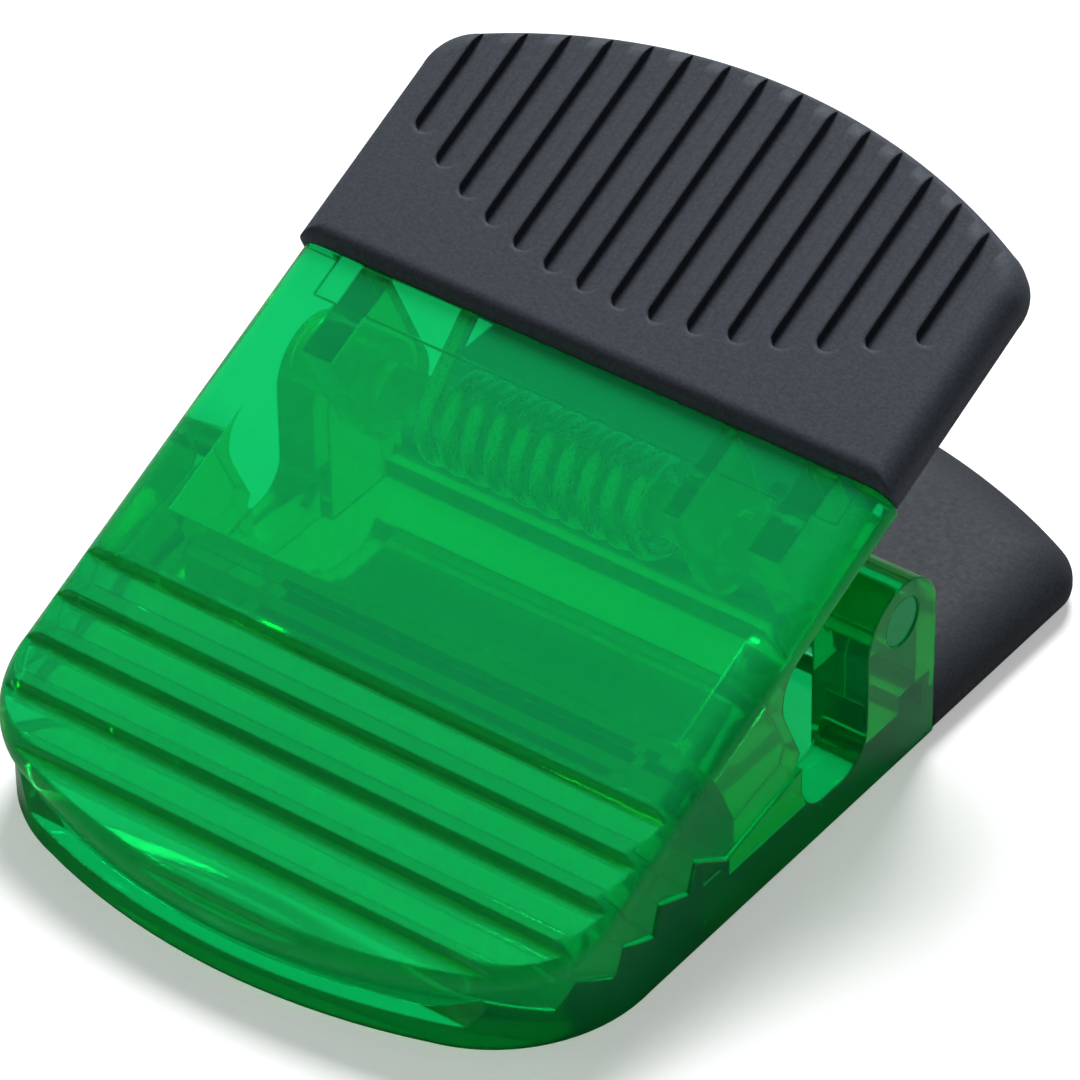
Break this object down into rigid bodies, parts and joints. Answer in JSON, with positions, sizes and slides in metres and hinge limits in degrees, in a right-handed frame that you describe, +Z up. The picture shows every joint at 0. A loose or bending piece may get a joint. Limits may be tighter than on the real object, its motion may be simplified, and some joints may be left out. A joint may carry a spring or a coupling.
{
  "type": "magnetic memo clip",
  "caption": "Spring clip with clear green plastic jaws, toothed noses and rubber-capped levers that turn on a pin, closed by a torsion spring, with a magnet in its flat base.",
  "frame": {"origin": "under the middle of the closed clip, on the plane of its flat underside", "axes": "+X across the clip, +Y from the noses to the levers, +Z up from the underside"},
  "size_m": [0.044, 0.0643, 0.0309],
  "materials": {
    "clear_green_lower": "polished clear tinted plastic",
    "clear_green_upper": "polished clear tinted plastic",
    "black_rubber_lower": "fine matt texture",
    "black_rubber_upper": "fine matt texture",
    "ferrite": "ground sintered ferrite",
    "pin_plastic": "moulded plastic",
    "spring_steel": "bright drawn wire"
  },
  "bodies": {
    "lower": {"lower_jaw": "clear_green_lower", "lower_grip": "black_rubber_lower", "magnet": "ferrite", "pivot_pin": "pin_plastic", "torsion_spring": "spring_steel"},
    "upper": {"upper_jaw": "clear_green_upper", "upper_grip": "black_rubber_upper"}
  },
  "joints": [
    {"name": "pivot", "type": "hinge", "parent": "lower", "child": "upper", "pos_m": [0, 0.00645, 0.0113], "axis": [-1, 0, 0], "range_deg": [0, 50], "stiffness_Nm_per_rad": 0.15, "springref_deg": -57.3, "deforming": ["torsion_spring"]}
  ]
}
